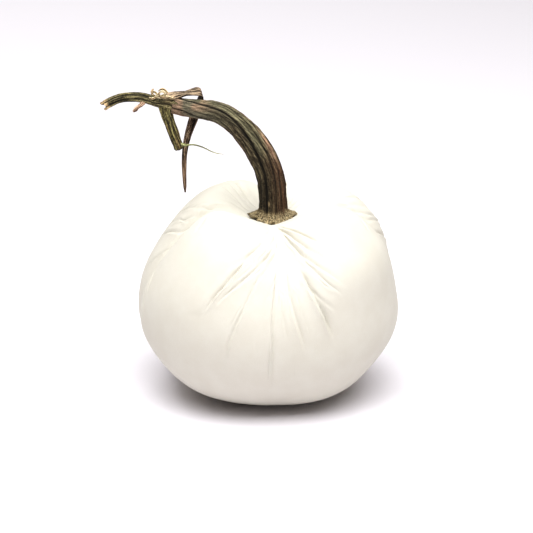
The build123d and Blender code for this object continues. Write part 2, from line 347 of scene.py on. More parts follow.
LEFT_FAN = [
    ([(-9, 24), (-8, 45), (-4, 62), (-2, 81), (0, 98), (2, 116)], 1.8, 3.2, 1),
    ([(-5.5, 38), (-7.5, 52), (-18, 79), (-26, 98)], 1.7, 1.3, -1),
    ([(-9.5, 45), (-15.5, 69), (-20, 84)], 0.9, 1.1, -1),
    ([(-3, 46), (-9, 75), (-14, 84), (-26, 112)], 1.7, 1.2, -1),
    ([(-2, 60), (-4, 77), (-12.5, 95), (-23, 118)], 2.1, 1.4, -1),
    ([(-0.5, 76), (-1.6, 89), (-6, 108), (-12, 130)], 1.9, 1.3, -1),
    ([(-3, 53), (-6, 68), (-13, 90), (-19, 104)], 0.9, 1.0, -1),
    ([(6, 106), (10, 120), (15, 140)], 1.8, 1.2, 1),
    ([(7, 126), (12, 142), (16, 158)], 1.8, 1.2, 1),
    ([(3, 96), (6, 114), (9, 140)], 1.6, 1.5, 1),
    ([(2, 60), (7, 84), (12, 104)], 1.0, 1.6, 1),
    ([(22, 60), (30, 86)], 0.7, 2.0, 1),
]
BACK_FAN = [
    ([(29, 16), (34, 33), (33, 48), (30, 66)], 4.2, 2.6, -1),
    ([(62, 15), (52, 28), (50, 45), (49, 62)], 1.5, 1.7, -1),
    ([(40, 18), (42, 36), (41, 56)], 1.2, 1.8, -1),
    ([(0, 24), (1, 60), (-1, 100), (0, 150)], 2.0, 3.0, 1),
    ([(-4, 44), (-14, 84), (-32, 138)], 2.3, 2.0, -1),
    ([(-9, 58), (-25, 106)], 1.4, 1.7, -1),
    ([(-2, 74), (-9, 176)], 1.6, 1.8, -1),
    ([(3, 66), (7, 188)], 1.4, 1.7, 1),
    ([(5, 52), (12, 100), (23, 152)], 2.2, 1.9, 1),
    ([(8, 44), (20, 80), (35, 114)], 1.8, 2.0, 1),
    ([(-12, 34), (-31, 78)], 1.2, 1.9, -1),
]
FANS = tuple(zip(CREASES, (RIGHT_FAN, BACK_FAN, LEFT_FAN, FRONT_FAN)))
# rise is the share of a pleat's length over which it deepens, height the part of its depth that is used,
# crowd how much closer together the mesh's columns are on it, and spread over how many degrees they are.
FRONT_STYLE = dict(rise=0.15, height=0.68, crowd=1.2, spread=2.2)
SIDE_STYLE = dict(rise=0.4, height=0.58, crowd=1.3, spread=1.5)
CROWDED_DEPTH = 2.0  # mm; deeper pleats draw no more columns
GATHERS = 31  # small gathers round the neck


def fullness(azimuth):
    """0 in a crease and 1 on the middle of a lobe."""
    across = np.sin(pi * (((azimuth - CREASES[0]) / 90.0) % 1.0))
    across = np.sqrt(across**2 + 0.008) - 0.09  # rounds the crease's bottom
    sharp = 2.3 - 1.5 * band(azimuth, FRONT, 50)  # the front crease is the softest
    return np.tanh(sharp * across) / np.tanh(sharp)


def outline_table(rows):
    """Radius, height and distance from the neck along the cloth, in mm, for rows x TABLE azimuths."""
    lobe, crease = np.array(LOBE_OUTLINE), np.array(CREASE_OUTLINE)
    outlines = []
    for w in fullness(TABLE):
        radius = CREASE_RADIUS + (BODY_RADIUS - CREASE_RADIUS) * w
        knots = (crease + (lobe - crease) * w) * (radius, BODY_HEIGHT)
        knots[0] = BASE_RADIUS, 0.0
        outlines.append(spline_through(knots, rows))
    outlines = np.array(outlines).transpose(1, 0, 2)
    steps = np.linalg.norm(np.diff(outlines, axis=0), axis=2)
    reach = np.vstack([np.cumsum(steps[::-1], axis=0)[::-1], np.zeros((1, len(TABLE)))])
    return outlines[..., 0], outlines[..., 1], reach


def along_pleats(azimuths, reach):
    """For each pleat: the share of its length, the angle from its line, its style, then its own numbers."""
    for crease, fan in FANS:
        style = FRONT_STYLE if crease == FRONT else SIDE_STYLE
        for line, depth, width, puff in fan:
            offsets, places = zip(*line)
            share = (reach - places[0]) / (places[-1] - places[0])
            gap = turn_gap(azimuths, crease + np.interp(reach, places, offsets))
            yield share, gap, style, depth, width, puff


def column_azimuths(count, reach):
    """Azimuths of every row's columns, closer together on the pleats, so that columns run along them."""
    density = 1.0 + sum(0.4 * band(TABLE, crease, 34) for crease in CREASES) + 0 * reach
    for share, gap, style, depth, *_ in along_pleats(TABLE, reach):
        strength = style["crowd"] * min(depth, CROWDED_DEPTH)
        near = bump(gap / style["spread"])
        density += strength * ramp(share, -0.15, 0.05) * (1 - ramp(share, 0.95, 1.15)) * near
    share = np.cumsum((density[:, 1:] + density[:, :-1]) / 2, axis=1)
    share = np.hstack([np.zeros((len(share), 1)), share])
    even = np.linspace(0, 1, count, endpoint=False)
    return np.array([np.interp(even, row / row[-1], TABLE) for row in share])


def body_grid(count, rows, base_rows, neck_rows):
    """Points of the stuffed body, from the middle of the base round to inside the neck, without pleats.

    Also the azimuths and the cloth's distance from the neck at each point, in mm.
    """
    radius, height, reach = outline_table(rows)
    azimuths = column_azimuths(count, reach)
    radius, height, reach = (
        np.array([np.interp(a, TABLE, line) for a, line in zip(azimuths, field)])
        for field in (radius, height, reach)
    )
    in_base = np.linspace(BASE_MIDDLE, 1, base_rows, endpoint=False)[:, None]
    in_neck = np.linspace(0, 1, neck_rows + 1)[1:, None]
    reach = np.concatenate([reach[0] + radius[0] * (1 - in_base), reach, 0 * in_neck + 0 * reach[:1]])
    height = np.concatenate([in_base * height[:1], height, height[-1] - NECK_DEPTH * in_neck])
    radius = np.concatenate([in_base * radius[:1], radius, radius[-1] + 0 * in_neck])
    below, above = azimuths[:1].repeat(base_rows, 0), azimuths[-1:].repeat(neck_rows, 0)
    azimuths = np.concatenate([below, azimuths, above])
    a = np.radians(azimuths)
    x, y = radius * np.cos(a), radius * np.sin(a)
    # It sits a little unevenly: the flanks draw in low down, the middle slumps towards the stem's side,
    # and the top leans the other way.
    flank = np.where(x > 0, 0.1, 0.075) * np.abs(np.cos(a))
    drawn_in = flank * bump((height - 22) / 24) * ramp(height, 0, 12)
    slump = 2.3 * bump((height - 60) / 62)
    lean = 4.5 * ramp(height, 85, 130) * ramp(radius, 22, 60)
    x = x * (1 - drawn_in) - slump + lean
    return np.stack([x, y, height], -1), azimuths, reach, radius


def pleats(azimuths, reach, radius):
    """How far the pleats and the gathers raise or sink the cloth, in mm."""
    total = np.zeros_like(reach)
    for share, gap, style, depth, width, puff in along_pleats(azimuths, reach):
        out = puff * np.radians(gap) * radius
        w = width * (0.65 + 0.35 * np.clip(share, 0, 1))
        swell = ramp(share, 0.0, style["rise"]) * (1 - ramp(share, 0.65, 1.0))
        groove = -0.8 * np.exp(-np.abs(out) / (0.36 * w)) - 0.35 * bump(out / (1.0 * w))
        ridge = 0.7 * np.exp(-np.abs(out + 1.2 * w) / (0.42 * w)) + 0.2 * bump((out + 2.2 * w) / (2.0 * w))
        over = 0.3 * bump((out - 2.3 * w) / (1.9 * w))
        total += style["height"] * depth * swell * (groove + ridge + over)
    turn = azimuths / 360.0
    wander = 0.35 * smooth_noise(reach / 14, turn, 23, 1)
    gather = np.abs(np.sin(pi * (turn * GATHERS + wander))) ** 0.7 - 0.6
    near = ramp(reach, 12, 22) * (1 - ramp(reach, 26 + 12 * smooth_noise(reach * 0, turn, 17, 2), 58))
    return total + 0.9 * near * gather * (0.6 + 0.4 * smooth_noise(reach / 30, turn, 19, 3))


def pleated_body(count, rows, base_rows, neck_rows):
    """Points of the cover with its pleats and a slight unevenness, and the distance from the neck."""
    grid, azimuths, reach, radius = body_grid(count, rows, base_rows, neck_rows)
    lift = pleats(azimuths, reach, radius)
    lift += 0.9 * smooth_noise(reach / 38, azimuths / 360.0, 13, 4) * ramp(reach, 40, 80)
    lift *= ramp(grid[..., 2], 0.5, 14)
    normal = grid_normals(grid)
    if (normal[rows // 2, :, :2] * grid[rows // 2, :, :2]).sum() < 0:
        normal = -normal
    return grid + normal * lift[..., None], reach


PRESSURE = 3.0
SETTLING_FRAMES = 20
FURTHEST = 6.0  # mm that a point may move


def simulate_cloth(grid, reach):
    """How far Blender's cloth moves the cover under pressure, pinned at the neck and where it stands."""
    obj = grid_object("cover_cloth", grid)
    rows, cols, _ = grid.shape
    hold = np.maximum(1 - ramp(reach, 14, 34), 1 - ramp(grid[..., 2], 1.0, 9.0)).ravel()
    spare = (ramp(reach, 18, 40) * (1 - ramp(reach, 90, 150))).ravel()
    pin = obj.vertex_groups.new(name="pin")
    loose = obj.vertex_groups.new(name="loose")
    for i in range(rows * cols):
        pin.add([i], float(hold[i]), "REPLACE")
        loose.add([i], float(spare[i]), "REPLACE")
    pin.add([rows * cols, rows * cols + 1], 1.0, "REPLACE")
    cloth = obj.modifiers.new("cloth", "CLOTH")
    setup = cloth.settings
    setup.quality = 6
    setup.mass = 0.35
    setup.tension_stiffness = 18
    setup.compression_stiffness = 12
    setup.shear_stiffness = 6
    setup.bending_stiffness = 0.25
    setup.vertex_group_mass = "pin"
    setup.pin_stiffness = 1.0
    setup.use_pressure = True
    setup.uniform_pressure_force = PRESSURE
    setup.vertex_group_shrink = "loose"
    setup.shrink_min = 0.0
    setup.shrink_max = -0.05
    setup.effector_weights.gravity = 0.0
    cloth.collision_settings.use_self_collision = False
    cloth.collision_settings.use_collision = False
    scene = bpy.context.scene
    for step in range(1, SETTLING_FRAMES + 1):
        scene.frame_set(step)
    settled = obj.evaluated_get(bpy.context.evaluated_depsgraph_get()).to_mesh()
    points = np.empty(len(settled.vertices) * 3)
    settled.vertices.foreach_get("co", points)
    scene.frame_set(1)
    moved = points.reshape(-1, 3)[: rows * cols].reshape(grid.shape) / MM - grid
    far = np.linalg.norm(moved, axis=2, keepdims=True)
    moved *= FURTHEST * np.tanh(far / FURTHEST) / np.maximum(far, 1e-9)
    bpy.data.objects.remove(obj)
    return moved


def resampled(field, rows, columns):
    """A field on the coarse grid read at fractional row and column numbers; columns close on themselves."""
    r0 = np.clip(np.floor(rows).astype(int), 0, field.shape[0] - 2)
    c0 = np.floor(columns).astype(int)
    fr, fc = (rows - r0)[:, None, None], (columns - c0)[None, :, None]
    c0, c1 = c0 % field.shape[1], (c0 + 1) % field.shape[1]
    top = field[r0][:, c0] * (1 - fc) + field[r0][:, c1] * fc
    low = field[r0 + 1][:, c0] * (1 - fc) + field[r0 + 1][:, c1] * fc
    return top * (1 - fr) + low * fr


# The cover's mesh, and the coarser one that is simulated.
FINE = dict(count=560, rows=162, base_rows=6, neck_rows=4)
COARSE = dict(count=248, rows=70, base_rows=5, neck_rows=3)


def row_numbers(fine, coarse):
    """Coarse row number that each fine row lies at, section by section."""
    fb, fr, fn = fine["base_rows"], fine["rows"], fine["neck_rows"]
    cb, cr, cn = coarse["base_rows"], coarse["rows"], coarse["neck_rows"]
    return np.concatenate([
        np.linspace(0, cb, fb, endpoint=False),
        np.linspace(cb, cb + cr - 1, fr),
        cb + cr - 1 + np.linspace(0, cn, fn + 1)[1:],
    ])


cover_points, cover_reach = pleated_body(**FINE)
rough_points, rough_reach = pleated_body(**COARSE)
columns = np.arange(FINE["count"]) * COARSE["count"] / FINE["count"]
moved = simulate_cloth(rough_points, rough_reach)
cover_points = cover_points + resampled(moved, row_numbers(FINE, COARSE), columns)
cover_points[..., 2] = np.maximum(cover_points[..., 2], 0.0)
cover = grid_object("cover", cover_points, {"reach": cover_reach})
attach(cover, "root")
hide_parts("velvet_cover")

FILLING_GAP = 2.2  # mm between the cover and the filling
FILLING_BASE = 1.2  # mm from the floor
FILLING_WAIST = 40  # a row half way up

# The filling follows the cover from inside.
inner = cover_points[::2, ::4]
inward = grid_normals(inner)
if (inward[FILLING_WAIST, :, :2] * inner[FILLING_WAIST, :, :2]).sum() > 0:
    inward = -inward
inner = inner + inward * FILLING_GAP
inner[..., 2] = np.maximum(inner[..., 2], FILLING_BASE)
inner = inner[:-4]  # without the neck and the last of the dimple
# At the top it goes down round the neck with its thread, and closes below the neck.
thread_low, thread_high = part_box("gathering_thread")
hollow_radius = thread_high.x / MM + 0.8
neck_hollow = []
for height in (thread_high.z / MM + 5, thread_low.z / MM - 9):
    ring = inner[-1].copy()
    ring[:, :2] *= hollow_radius / np.hypot(ring[:, 0], ring[:, 1])[:, None]
    ring[:, 2] = height
    neck_hollow.append(ring)
filling = grid_object("filling", np.concatenate([inner, neck_hollow]))
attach(filling, "root")
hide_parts("fibre_filling")


def velvet_material():
    """Ivory pile with soft clouds of shade; scales are per metre."""
    m = Nodes("ivory_velvet")
    place = m.add("ShaderNodeTexCoord", "Object")
    nap = m.noise(place, 55, 2.0)
    pile = m.noise(m.scaled(place, (1, 1, 0.35)), 2600, 2.0, 0.7)
    cloud = m.noise(place, 14, 3.0)
    shade = m.mix(m.spread(nap, 0.35, 0.65), (206, 202, 190.5), (210, 207, 196.5))
    shade = m.mix(m.spread(cloud, 0.4, 0.7, 0.0, 0.14), shade, (203, 199, 184))
    shade = m.mix(m.spread(pile, 0.3, 0.7, 0.0, 0.3), shade, (194, 187, 171))
    m.bumps((pile, 0.25, 0.25), (nap, 0.15, 0.6))
    return m.finish(
        shade,
        m.spread(pile, 0.3, 0.7, 0.78, 0.95),
        Sheen_Weight=0.12,
        Sheen_Roughness=0.35,
        Sheen_Tint=(1.0, 0.98, 0.93, 1.0),
        Specular_IOR_Level=0.25,
    )


def fluffy_material(name, light, dark, scale):
    """A dull material of small tufts between two colours, so many to the metre."""
    m = Nodes(name)
    place = m.add("ShaderNodeTexCoord", "Object")
    tuft = m.noise(place, scale, 5.0, 0.65, 0.6)
    m.bumps((tuft, 0.6, 1.0))
    return m.finish(m.mix(m.spread(tuft, 0.35, 0.65), light, dark), 0.95, Sheen_Weight=0.3)


dress(cover, velvet_material())
dress(filling, fluffy_material("polyester_fibre", (246, 246, 243), (225, 225, 221), 160))


# ---- the dried stem -------------------------------------------------------------------------------
def limb(route, sides, rows, cols, section, masks):
    """Grid and facts of a limb swept along a smooth route.

    sides are the directions of the sections' first axis, spaced evenly along it. section(t, turn, length)
    gives the two section coordinates in mm, for t the share of the way, turn the share of a full turn and
    length the mm from the start. masks gives named values from the same three.
    """
    share = np.linspace(0, 1, rows)
    centre = spline_through(route, rows)
    tangent = np.gradient(centre, axis=0)
    tangent /= np.linalg.norm(tangent, axis=1, keepdims=True)
    side = np.stack([np.interp(share, np.linspace(0, 1, len(sides)), c) for c in zip(*sides)], -1)
    side -= tangent * (side * tangent).sum(1, keepdims=True)
    side /= np.linalg.norm(side, axis=1, keepdims=True)
    up = np.cross(tangent, side)
    length = np.r_[0, np.cumsum(np.linalg.norm(np.diff(centre, axis=0), axis=1))]
    turn = np.arange(cols) / cols
    t, turn, length = np.broadcast_arrays(share[:, None], turn[None, :], length[:, None])
    u, v = section(t, turn, length)
    grid = centre[:, None] + side[:, None] * u[..., None] + up[:, None] * v[..., None]
    radius = np.sqrt(u**2 + v**2).max()
    angle = 2 * pi * turn
    grain = np.stack([radius * np.cos(angle), radius * np.sin(angle), length], -1)
    return grid, {"grain": grain, **masks(t, turn, length)}


def inside_of(points):
    """Directions to the hollow side of an arch in the XZ plane, at each point of its route."""
    tangent = np.gradient(np.asarray(points, float), axis=0)
    tangent /= np.linalg.norm(tangent, axis=1, keepdims=True)
    return [(-t[2], 0.0, t[0]) for t in tangent]


def plant_piece(obj, node, material):
    """Dresses a piece of the plant and puts it in its CAD node's place."""
    dress(obj, material)
    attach(obj, "root")
    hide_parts(node)


stem_low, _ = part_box("main_stem")
FOOT_X = 1.9
FOOT_Z = stem_low.z / MM + 3.6  # the rim's height

STEM_ROUTE = [
    (FOOT_X, 0, FOOT_Z),
    (FOOT_X, 0, 148),
    (1.1, 0, 165),
    (-2.4, 0, 181.2),
    (-9.5, 0, 196.3),
    (-18.6, 0, 209.7),
    (-29.9, 0, 220.6),
    (-42.6, 0, 227.9),
    (-55.1, 0, 230.0),
    (-66, 0, 231.6),
    (-77, 0, 233.6),
]
# Widths, twists and the like are given as (share of the way, value).
STEM_WIDTH = [
    (0, 22.6),
    (0.4, 21.8),
    (0.52, 20.6),
    (0.63, 18.4),
    (0.74, 16.4),
    (0.86, 14.8),
    (0.95, 13.6),
    (1, 13.2),
]
# Grooves round the stem: degrees from the arch's hollow side at the foot, depth, and width in degrees.
GROOVES = [
    (59, 1.0, 8),
    (82, 0.55, 4),
    (101, 0.75, 5),
    (124, 0.65, 5),
    (142, 0.5, 4),
    (158, 0.85, 7),
    (178, 0.5, 5),
    (200, 0.6, 7),
    (243, 1.0, 8),
    (288, 0.65, 7),
    (329, 0.8, 8),
    (3, 0.5, 7),
    (32, 0.5, 7),
]
RIB_STEP = 12  # degrees between the fine ribs
STEM_TWIST = [(0, 0), (0.33, 15), (0.53, 36), (0.65, 52), (0.77, 68), (0.86, 88), (0.93, 108), (1, 120)]
STEM_ROW = 0.39  # about the mm from one of the stem's rows to the next
FOOT_FADE = 3.0  # mm up the stem over which the unevenness of the rim fades
# The star-shaped rim of the foot: degrees, reach, and height above the rim's own level.
FOOT_RIM = [
    (0, 19.6, 0.2),
    (18, 16.6, 0.3),
    (36, 14.9, -0.6),
    (56, 15.9, -1.4),
    (73, 17.9, -2.9),
    (90, 14.9, -2.8),
    (106, 18.0, -3.0),
    (124, 15.9, -1.6),
    (144, 14.8, -0.6),
    (163, 16.8, 0.4),
    (180, 18.7, 0.9),
    (200, 16.2, 0.5),
    (226, 15.0, -0.6),
    (248, 17.7, -1.6),
    (262, 17.3, -1.9),
    (270, 15.2, -1.8),
    (278, 17.2, -1.9),
    (293, 17.5, -1.6),
    (318, 14.8, -0.5),
    (342, 16.4, 0.3),
    (360, 19.6, 0.2),
]


def grooves_at(angle, t, length):
    """Depth of the grooves, 0 on a crest to 1 in the deepest, with uneven sides."""
    twist = table_value(STEM_TWIST, t) + 3.0 * smooth_noise(length / 22, angle / 360, 5, 20)
    total = np.zeros_like(angle)
    for place, depth, width in GROOVES:
        off = turn_gap(angle, place + twist)
        spread = width * (1.0 + 0.25 * smooth_noise(length / 15, 0 * t, 3, place))
        cut = 0.5 * bump(off / spread) + 0.5 * np.exp(-np.abs(off) / (1.5 * spread))
        total = np.maximum(total, depth * cut)
    drift = 1.2 * smooth_noise(length / 18, angle / 360, 9, 33)
    ribs = np.abs(np.cos(pi * ((angle - twist) / RIB_STEP + drift))) ** 5
    return np.maximum(total, 0.42 * ribs * (0.75 + 0.25 * smooth_noise(length / 10, angle / 360, 31, 34)))


def stem_section(t, turn, length):
    """Ribbed and lumpy section of the stem, which flares to the foot's ragged rim."""
    angle = 360 * turn
    groove = grooves_at(angle, t, length)
    radius = table_value(STEM_WIDTH, t) / 2
    fibres = smooth_noise(length / 8, turn + 0.02 * smooth_noise(length / 12, turn, 6, 22), 84, 21)
    lumps = smooth_noise(length / 4, turn, 17, 23) + smooth_noise(length / 13, turn, 5, 26)
    depth = 0.16 * radius * (1.25 - 0.35 * t)
    r = radius * 1.02 - depth * groove + 0.24 * fibres + 0.2 * lumps
    flare = np.exp(-np.maximum(length - 0.7, 0) / 1.6)
    rim = table_value([(a, reach) for a, reach, _ in FOOT_RIM], angle)
    grit = smooth_noise(length / 1.1, turn, 64, 24) + 0.7 * smooth_noise(length / 0.6, turn, 120, 25)
    r = r * (1 - flare) + (rim + 1.4 * grit) * flare + 0.45 * grit * ramp(8 - length, 0, 5)
    return r * np.cos(radians(1) * angle), r * np.sin(radians(1) * angle)


def stem_masks(t, turn, length):
    """Where the stem's colours lie, 0 to 1. own is the direction among the twisted ribs."""
    angle = 360 * turn
    groove = grooves_at(angle, t, length)
    own = (angle - table_value(STEM_TWIST, t)) % 360
    blotch = smooth_noise(length / 16, turn, 7, 30)
    foot = 1 - ramp(length + 1.5 * smooth_noise(length / 3, turn, 40, 31), 2.0, 7.0)
    low = 1 - ramp(t + 0.04 * blotch, 0.22, 0.46)
    moss = ramp(t, 0.3, 0.5) * (1 - ramp(t, 0.8, 0.98)) * band(own, 86, 24)
    mossy_blotch = 0.7 * ramp(blotch, 0.0, 0.6) * ramp(t, 0.25, 0.5) * (1 - ramp(t, 0.75, 0.95))
    # Painted highlights: paler colour along three ridge crests.
    crest_highlights = band(own, 78, 6) + 0.8 * band(own, 113, 5) + 0.6 * band(own, 140, 5)
    rust = low * band(angle, 150, 50) + 0.45 * patch(t, 0.52, 0.14) * band(angle, 15, 24)
    blush = 1.2 * patch(t, 0.41, 0.075) * band(own, 132, 14)
    blush += 0.8 * patch(t, 0.6, 0.1) * band(angle, 12, 14) + 0.7 * ramp(t, 0.5, 0.6) * band(own, 142, 9)
    blush += 0.65 * ramp(t, 0.72, 0.9) * ramp(smooth_noise(length / 7, turn, 6, 32), -0.2, 0.5)
    return {
        "groove": groove * (1 - 0.6 * foot),
        "foot": foot,
        "grit": np.maximum(foot, 0.15 * low),
        "ash": ramp(t + 0.03 * blotch, 0.6, 0.8),
        "shade": ramp(t, 0.25, 0.4) * (1 - ramp(t, 0.7, 0.85)) * band(own, 38, 17),
        "scar": patch(t, 0.092, 0.014) * band(angle, 71, 4.5),
        "moss": np.maximum(moss, mossy_blotch) * (1 - low),
        "crest": np.clip(ramp(t, 0.32, 0.5) * crest_highlights, 0, 1),
        "rust": np.clip(rust, 0, 1),
        "blush": np.clip(blush, 0, 1),
        # Darker low down all round, and darkest on the -X side under the arch, where it is painted shade.
        "low_dark_and_shade": np.clip(low * np.maximum(band(angle, 20, 60), 0.8), 0, 1),
    }


def shade_of(colour, share):
    """A darker or lighter shade of an sRGB colour."""
    return tuple(min(int(share * c), 255) for c in colour)


ROUGH = 0.82
SPECKS, SAND = 900, 1150  # dark and pale grains to the metre


def plant_material(name, base, dark, pale, streak=1.0, accents=(), gritty=False):
    """Dried plant skin: long streaks and flecks from dark to pale, painted shade in the grooves and folds,
    and accents.

    accents are (mask, colour, strength). A gritty skin has fine grains where its mask "grit" is.
    """
    m = Nodes(name)
    grain = m.attribute("grain", vector=True)
    long_grain = m.scaled(grain, (1, 1, 0.12))
    streaks = m.noise(long_grain, 0.55 * streak, 6.0, 0.7, 0.3)
    fine = m.noise(long_grain, 1.5 * streak, 4.0, 0.7)
    flecks = m.noise(m.scaled(grain, (1, 1, 0.7)), 0.9 * streak, 5.0, 0.85)
    tone = m.spread(m.weighted((streaks, 0.46), (fine, 0.27), (flecks, 0.27)), 0.44, 0.56)
    ramp_node = m.tree.nodes.new("ShaderNodeValToRGB")
    stops = ramp_node.color_ramp.elements
    stops[0].color, stops[1].color = rgba(shade_of(dark, 0.35)), rgba(shade_of(pale, 1.12))
    for place, colour in ((0.3, dark), (0.62, base)):
        stops.new(place).color = rgba(colour)
    m.link(tone, ramp_node.inputs["Fac"])
    colour = ramp_node.outputs["Color"]
    for mask, tint, strength in accents:
        toned = m.mix(tone, shade_of(tint, 0.4), shade_of(tint, 1.35))
        colour = m.tinted(colour, mask, strength, toned)
    if gritty:
        place = m.add("ShaderNodeTexCoord", "Object")
        specks = m.spread(m.noise(place, SPECKS, 2.0, 0.8), 0.46, 0.54, 0.0, 0.85)
        colour = m.tinted(colour, "grit", specks, shade_of(dark, 0.6))
        sand = m.spread(m.noise(place, SAND, 2.0, 0.8), 0.53, 0.59, 0.0, 0.9)
        colour = m.tinted(colour, "grit", sand, shade_of(pale, 1.3))
    # Painted shade: the colour darkens to a deep brown in the stem's grooves, between a stalk's ribs and in
    # the strap's folds.
    painted_groove_shade = m.spread(m.attribute("groove"), 0.2, 0.75, 0.0, 0.92)
    colour = m.mix(painted_groove_shade, colour, shade_of(dark, 0.35))
    m.bumps((streaks, 0.6, 0.8), (fine, 0.6, 0.45), (flecks, 0.6, 0.5))
    return m.finish(colour, m.spread(fine, 0.3, 0.7, ROUGH - 0.1, ROUGH + 0.12), Specular_IOR_Level=0.12)


stem_material = plant_material(
    "dried_stem_skin",
    (78, 68, 49),
    (40, 33, 22),
    (140, 128, 98),
    accents=(
        ("ash", (103, 98, 82), 0.65),
        ("moss", (82, 78, 58), 0.8),
        # The paler crest accent is a painted highlight along the ridges.
        ("crest", (122, 117, 90), 0.7),
        # The near-black accent darkens the lower stem, and on the side under the arch it is painted shade.
        ("low_dark_and_shade", (20, 15, 10), 0.95),
        ("rust", (80, 54, 38), 0.75),
        ("shade", (48, 40, 29), 0.65),
        ("blush", (156, 122, 98), 0.75),
        ("foot", (134, 117, 86), 0.9),
        ("scar", (196, 164, 124), 1.0),
    ),
    gritty=True,
)
stem_sides = [(-1.0, 0.0, 0.0)] * 2 + inside_of(STEM_ROUTE)[2:]  # the foot is level
stem_grid, stem_facts = limb(STEM_ROUTE, stem_sides, 330, 168, stem_section, stem_masks)
# The foot's rim rides over the folds of the cloth, and its underside bulges down to the glue.
stem_rows, stem_cols, _ = stem_grid.shape
sag = table_value([(a, h) for a, _, h in FOOT_RIM], 360 * np.arange(stem_cols) / stem_cols)
stem_grid[..., 2] += np.exp(-np.arange(stem_rows)[:, None] * STEM_ROW / FOOT_FADE) * sag
under = []
for share, drop in ((0.35, 3.0), (0.6, 2.4), (0.85, 1.5), (0.96, 1.1)):
    ring = stem_grid[0].copy()
    ring[:, :2] = (ring[:, :2] - (FOOT_X, 0)) * share + (FOOT_X, 0)
    ring[:, 2] -= drop
    under.append(ring)
stem_grid = np.concatenate([np.array(under), stem_grid])
stem_facts = {k: np.concatenate([np.repeat(v[:1], len(under), axis=0), v]) for k, v in stem_facts.items()}
plant_piece(grid_object("stem", stem_grid, stem_facts), "main_stem", stem_material)


RIB_TWIST = 0.04  # turns that a stalk's ribs make on its whole length


def rib_wave(ribs, seed, t, turn, length):
    """1 on the ribs of a round stalk and -1 between them."""
    return np.cos(2 * pi * ribs * (turn + RIB_TWIST * t) + 0.8 * smooth_noise(length / 9, turn, 3, seed))


def round_section(width, ribs, depth, seed, fibre):
    """Section of a ribbed round stalk with fibres that stand a little proud."""

    def section(t, turn, length):
        r = table_value(width, t) / 2
        r = r * (1 - depth / 2 + depth / 2 * rib_wave(ribs, seed, t, turn, length))
        fine = smooth_noise(length / 6, turn, 40, seed + 1)
        coarse = smooth_noise(length / 3, turn, 9, seed + 2)
        r += fibre * fine + fibre * coarse
        return r * np.cos(2 * pi * turn), r * np.sin(2 * pi * turn)

    return section


def round_masks(ribs, seed, tip=None):
    """Colours of a round stalk. tip is the shares of the way between which the tip's colour comes in."""

    def masks(t, turn, length):
        rib = rib_wave(ribs, seed, t, turn, length)
        out = {"groove": ramp(-rib, 0.1, 1.0) * (0.75 + 0.25 * smooth_noise(length / 5, turn, 7, seed + 6))}
        out["blush"] = ramp(smooth_noise(length / 8, turn, 5, seed + 4), 0.1, 0.8)
        if tip:
            out["tip"] = ramp(t, *tip)
        return out

    return masks


VINE_ROUTE = [
    (-74, 0, 233.2),
    (-80.4, 0, 236.2),
    (-89, 0, 236.9),
    (-97.6, 0, 239.3),
    (-108.6, 0, 240.2),
    (-119.5, 0, 238.3),
    (-128.4, 0, 233.8),
]
vine_material = plant_material(
    "dried_vine_skin",
    (78, 72, 46),
    (38, 34, 22),
    (128, 118, 84),
    accents=(("blush", (98, 84, 60), 0.5), ("tip", (190, 162, 120), 0.95)),
)
VINE_WIDTH = [(0, 12.6), (0.12, 12.8), (0.22, 10.4), (0.34, 8.8), (0.8, 8.0), (1, 8.4)]
TORN_ROWS = 14  # rows at the end of the vine that its torn edge draws out
TONGUES = ((0.02, 2.6), (0.47, 3.4))  # share of a turn and mm
VINE_WALL = 1.5
VINE_HOLLOW = 7.0  # deep


def split_end(grid, facts, tongues, wall, depth):
    """Opens the far end of a limb into a tube whose edge is torn into tongues."""
    middle = grid[-1].mean(0)
    along = middle - grid[-5].mean(0)
    along /= np.linalg.norm(along)
    turn = np.arange(grid.shape[1]) / grid.shape[1]
    torn = sum(reach * band(360 * turn, 360 * place, 38) for place, reach in tongues)
    torn += 0.5 * smooth_noise(0 * turn, turn, 24, 99)
    grid[-TORN_ROWS:] += (np.linspace(0, 1, TORN_ROWS)[:, None] ** 2 * torn)[..., None] * along
    spoke = grid[-1] - middle
    spoke -= (spoke @ along)[:, None] * along
    lip = grid[-1] - spoke / np.linalg.norm(spoke, axis=1, keepdims=True) * wall
    rings = [lip] + [lip - along * ((torn + depth)[:, None] * share) for share in (0.25, 0.6, 1.0)]
    grid = np.concatenate([grid, rings])
    return grid, {k: np.concatenate([v, np.repeat(v[-1:], len(rings), axis=0)]) for k, v in facts.items()}


vine_built = limb(
    VINE_ROUTE,
    inside_of(VINE_ROUTE),
    190,
    72,
    round_section(VINE_WIDTH, 6, 0.24, 40, fibre=0.22),
    round_masks(6, 40, tip=(0.93, 0.99)),
)
vine_built = split_end(*vine_built, TONGUES, VINE_WALL, VINE_HOLLOW)
plant_piece(grid_object("vine", *vine_built), "vine_cutting", vine_material)

STUB_ROUTE = [(-82.8, -1, 233.5), (-79.6, -2, 222), (-75.6, -3, 210.5), (-71.4, -3, 198.6)]
stub_material = plant_material(
    "green_stalk_skin",
    (92, 84, 50),
    (48, 42, 25),
    (138, 130, 84),
    accents=(("blush", (92, 70, 46), 0.5), ("tip", (40, 34, 20), 0.8)),
)
stub_built = limb(
    STUB_ROUTE,
    [(1, 0, 0.3)] * 2,
    110,
    60,
    round_section([(0, 11), (0.3, 9.4), (0.8, 8.2), (1, 7.8)], 7, 0.16, 50, fibre=0.22),
    round_masks(8, 50, tip=(0.96, 1.0)),
)
plant_piece(grid_object("stub", *stub_built), "leaf_stalk_stub", stub_material)


